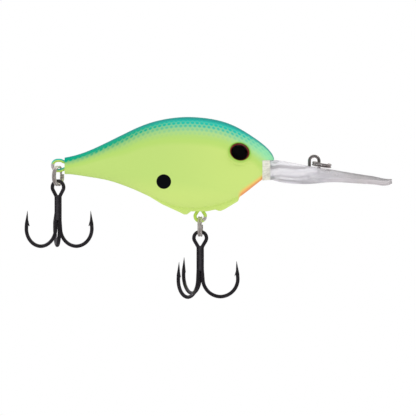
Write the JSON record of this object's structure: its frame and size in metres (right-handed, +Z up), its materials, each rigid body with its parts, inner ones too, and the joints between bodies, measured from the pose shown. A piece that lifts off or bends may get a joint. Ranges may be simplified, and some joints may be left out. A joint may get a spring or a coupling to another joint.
{
  "type": "crankbait lure",
  "caption": "Deep-diving crankbait: hollow two-shell body with a long clear lip, line-tie eye and ring, and treble hooks that swing on split rings.",
  "frame": {"origin": "centre of the line-tie eye", "axes": "+X forward along the lip, +Y to the fish's left side, +Z up"},
  "size_m": [0.1223, 0.025, 0.0605],
  "materials": {
    "painted_body": "gloss paint under clear coat",
    "clear_plastic": "clear moulded plastic",
    "lead": "cast lead",
    "steel_wire": "nickel plated steel wire",
    "painted_wire": "steel wire painted with the body",
    "eye_print": "printed film disc",
    "steel_ball": "polished steel ball",
    "black_nickel": "black nickel plated steel",
    "braze": "plated solder"
  },
  "bodies": {
    "lure_body": {"left_body_shell": "painted_body", "right_body_shell": "painted_body", "diving_lip": "clear_plastic", "lip_weight": "lead", "line_tie_wire": "steel_wire", "belly_hook_hanger": "painted_wire", "tail_hook_hanger": "painted_wire", "belly_ballast": "lead", "left_eye_disc": "eye_print", "left_eye_lens": "clear_plastic", "right_eye_disc": "eye_print", "right_eye_lens": "clear_plastic"},
    "line_tie_ring": {"line_tie_split_ring": "steel_wire"},
    "belly_ring": {"belly_split_ring": "steel_wire"},
    "belly_treble": {"belly_double_hook": "black_nickel", "belly_single_hook": "black_nickel", "belly_hook_braze": "braze"},
    "tail_ring": {"tail_split_ring": "steel_wire"},
    "tail_treble": {"tail_double_hook": "black_nickel", "tail_single_hook": "black_nickel", "tail_hook_braze": "braze"},
    "knocker": {"knocker_ball": "steel_ball"},
    "rattle_1": {"rattle_ball_1": "steel_ball"},
    "rattle_2": {"rattle_ball_2": "steel_ball"},
    "rattle_3": {"rattle_ball_3": "steel_ball"}
  },
  "joints": [
    {"name": "line_tie_ring_swing", "type": "hinge", "parent": "lure_body", "child": "line_tie_ring", "pos_m": [-0.0001, 0, -0.00075], "axis": [0, -1, 0], "range_deg": [0, 150]},
    {"name": "belly_ring_swing", "type": "hinge", "parent": "lure_body", "child": "belly_ring", "pos_m": [-0.038, 0, -0.0201], "axis": [0.9979, -0.0645, 0], "range_deg": [-60, 60]},
    {"name": "belly_treble_swing", "type": "hinge", "parent": "belly_ring", "child": "belly_treble", "pos_m": [-0.038, 0, -0.02512], "axis": [0.0645, 0.9979, 0], "range_deg": [-60, 60]},
    {"name": "tail_ring_swing", "type": "hinge", "parent": "lure_body", "child": "tail_ring", "pos_m": [-0.0854, 0, -0.0032], "axis": [1, 0, 0], "range_deg": [-25, 45]},
    {"name": "tail_treble_swing", "type": "hinge", "parent": "tail_ring", "child": "tail_treble", "pos_m": [-0.0854, 0, -0.00822], "axis": [0.4289, 0.9033, 0], "range_deg": [-45, 75]},
    {"name": "knocker_slide", "type": "slide", "parent": "lure_body", "child": "knocker", "axis": [0, 1, 0], "range_m": [-0.003, 0.003]},
    {"name": "rattle_1_slide", "type": "slide", "parent": "lure_body", "child": "rattle_1", "axis": [1, 0, 0], "range_m": [-0.0016, 0.0016]},
    {"name": "rattle_2_slide", "type": "slide", "parent": "lure_body", "child": "rattle_2", "axis": [1, 0, 0], "range_m": [-0.0016, 0.0016]},
    {"name": "rattle_3_slide", "type": "slide", "parent": "lure_body", "child": "rattle_3", "axis": [1, 0, 0], "range_m": [-0.0016, 0.0016]}
  ],
  "couplings": [
    {"joint": "rattle_2_slide", "follows": "rattle_1_slide", "ratio": 1},
    {"joint": "rattle_3_slide", "follows": "rattle_1_slide", "ratio": 1}
  ]
}
